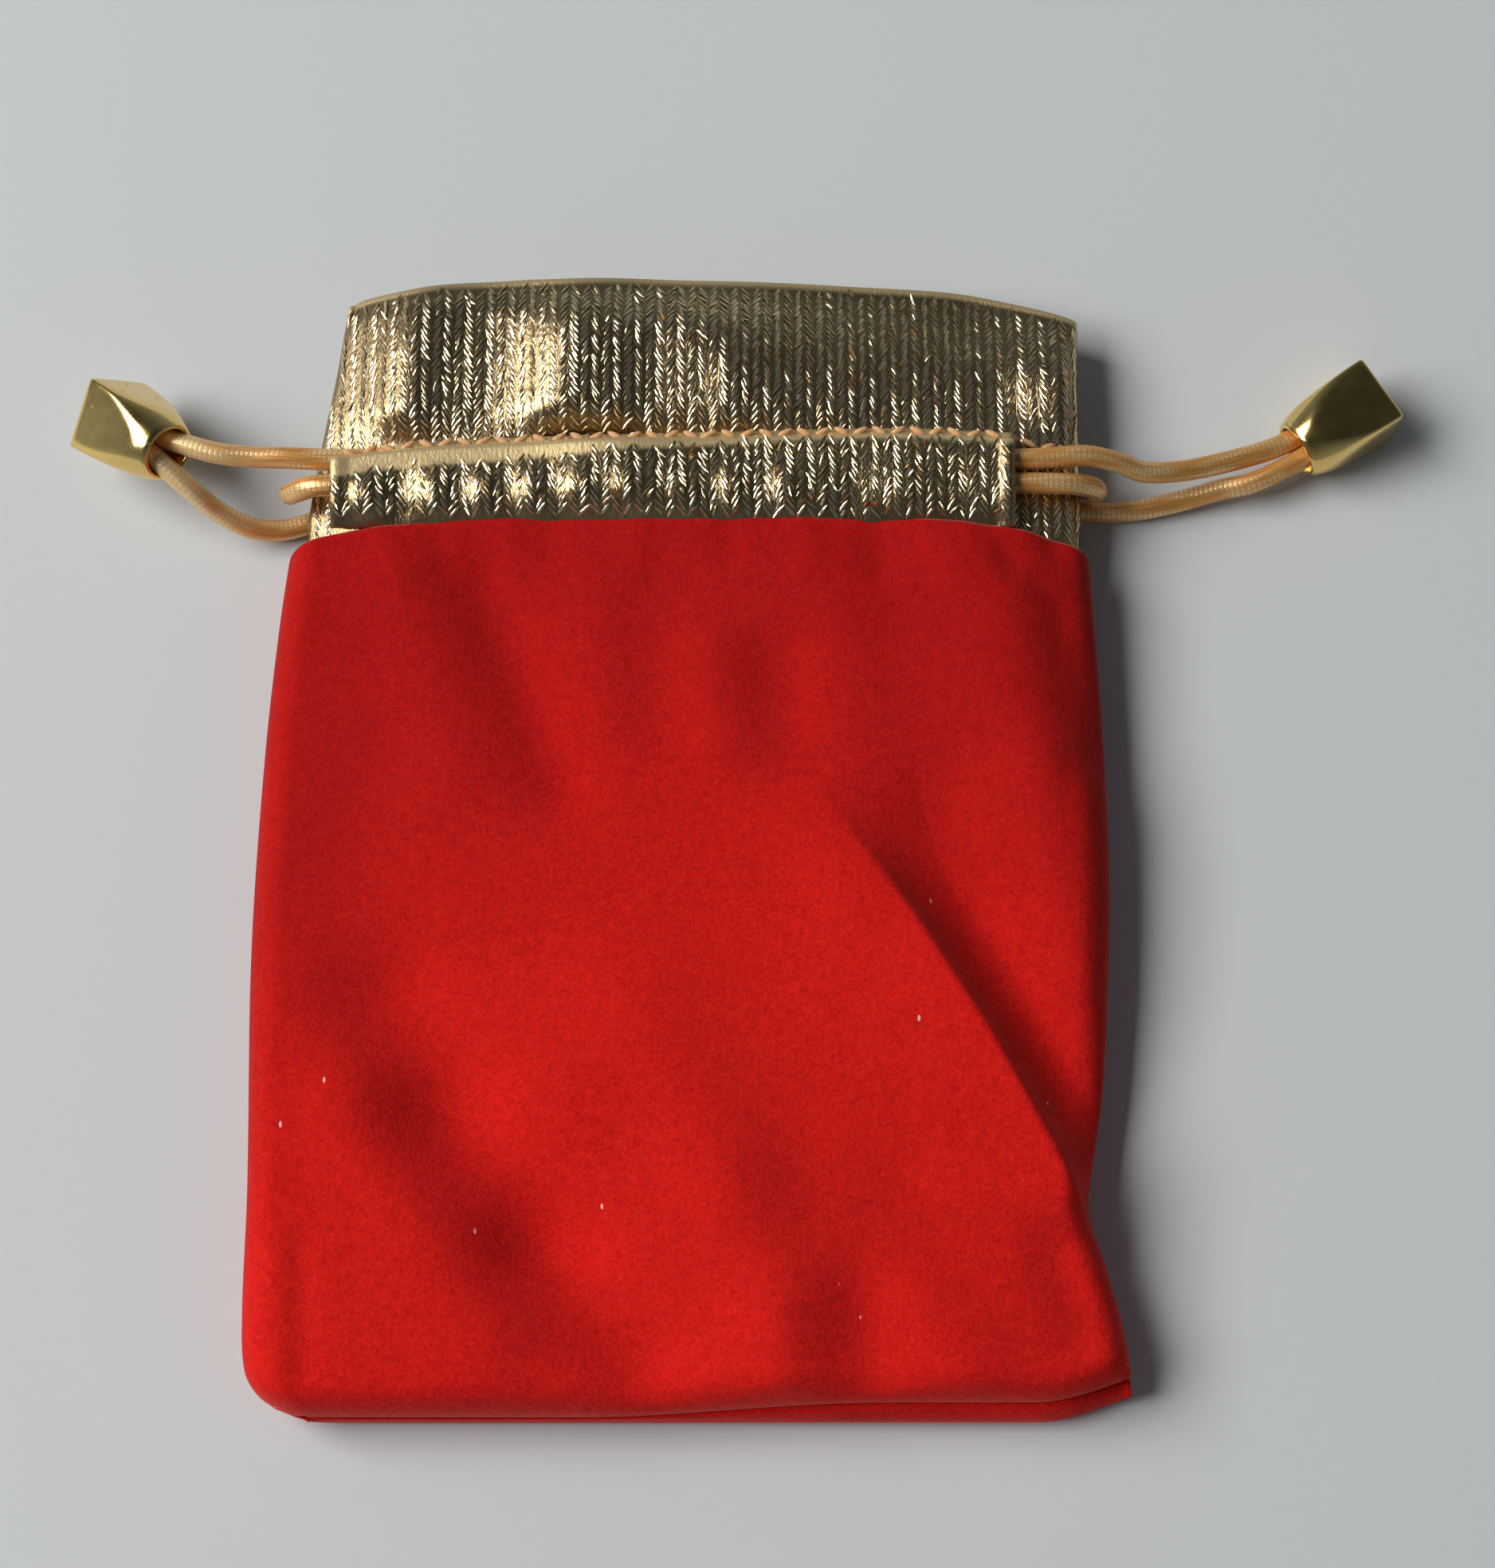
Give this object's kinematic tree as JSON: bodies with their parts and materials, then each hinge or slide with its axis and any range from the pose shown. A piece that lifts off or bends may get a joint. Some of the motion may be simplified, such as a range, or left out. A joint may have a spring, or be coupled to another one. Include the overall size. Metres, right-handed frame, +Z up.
{
  "type": "drawstring pouch",
  "caption": "Flat velvet gift pouch with a gold collar and two drawcords that leave its cord casings at opposite sides, each ending in a square bell.",
  "frame": {"origin": "centre of the pouch cloth, on the plane that it lies on", "axes": "+X across the pouch, +Y from the bottom seam to the mouth, +Z up from the table"},
  "size_m": [0.1432, 0.122, 0.0128],
  "materials": {
    "velvet": "cut-pile velvet",
    "lame": "metallic chevron knit",
    "cord": "satin rattail",
    "bell": "gold plated, mirror",
    "red_thread": "sewing thread",
    "gold_thread": "sewing thread"
  },
  "bodies": {
    "pouch": {"front_velvet_panel": "velvet", "back_velvet_panel": "velvet", "front_collar_band": "lame", "back_collar_band": "lame", "front_casing": "lame", "back_casing": "lame", "front_casing_topstitch": "gold_thread", "back_casing_topstitch": "gold_thread", "front_waist_seam": "red_thread", "back_waist_seam": "red_thread", "left_side_seam": "red_thread", "right_side_seam": "red_thread", "bottom_seam": "red_thread", "right_cord_loop": "cord", "left_cord_loop": "cord"},
    "collar_flap": {"front_collar_flap": "lame", "back_collar_flap": "lame", "left_collar_seam": "gold_thread", "right_collar_seam": "gold_thread"},
    "right_cord_pull": {"right_cord_front_tail": "cord", "right_cord_back_tail": "cord", "right_cord_knot": "cord"},
    "right_bell": {"right_bell": "bell"},
    "left_cord_pull": {"left_cord_front_tail": "cord", "left_cord_back_tail": "cord", "left_cord_knot": "cord"},
    "left_bell": {"left_bell": "bell"}
  },
  "joints": [
    {"name": "right_cord_draw", "type": "slide", "parent": "pouch", "child": "right_cord_pull", "axis": [1, 0, 0], "range_m": [0, 0.02]},
    {"name": "left_cord_draw", "type": "slide", "parent": "pouch", "child": "left_cord_pull", "axis": [-1, 0, 0], "range_m": [0, 0.02]},
    {"name": "right_bell_turn", "type": "hinge", "parent": "right_cord_pull", "child": "right_bell", "pos_m": [0.0655, 0.0426, 0.00405], "axis": [0.8387, 0.5446, 0], "continuous": true},
    {"name": "left_bell_turn", "type": "hinge", "parent": "left_cord_pull", "child": "left_bell", "pos_m": [-0.055, 0.0402, 0.0099], "axis": [-0.7043, 0.5704, -0.4226], "continuous": true},
    {"name": "collar_fold", "type": "hinge", "parent": "pouch", "child": "collar_flap", "pos_m": [0, 0.0428, 0.0088], "axis": [1, 0, 0], "range_deg": [0, 90]}
  ]
}
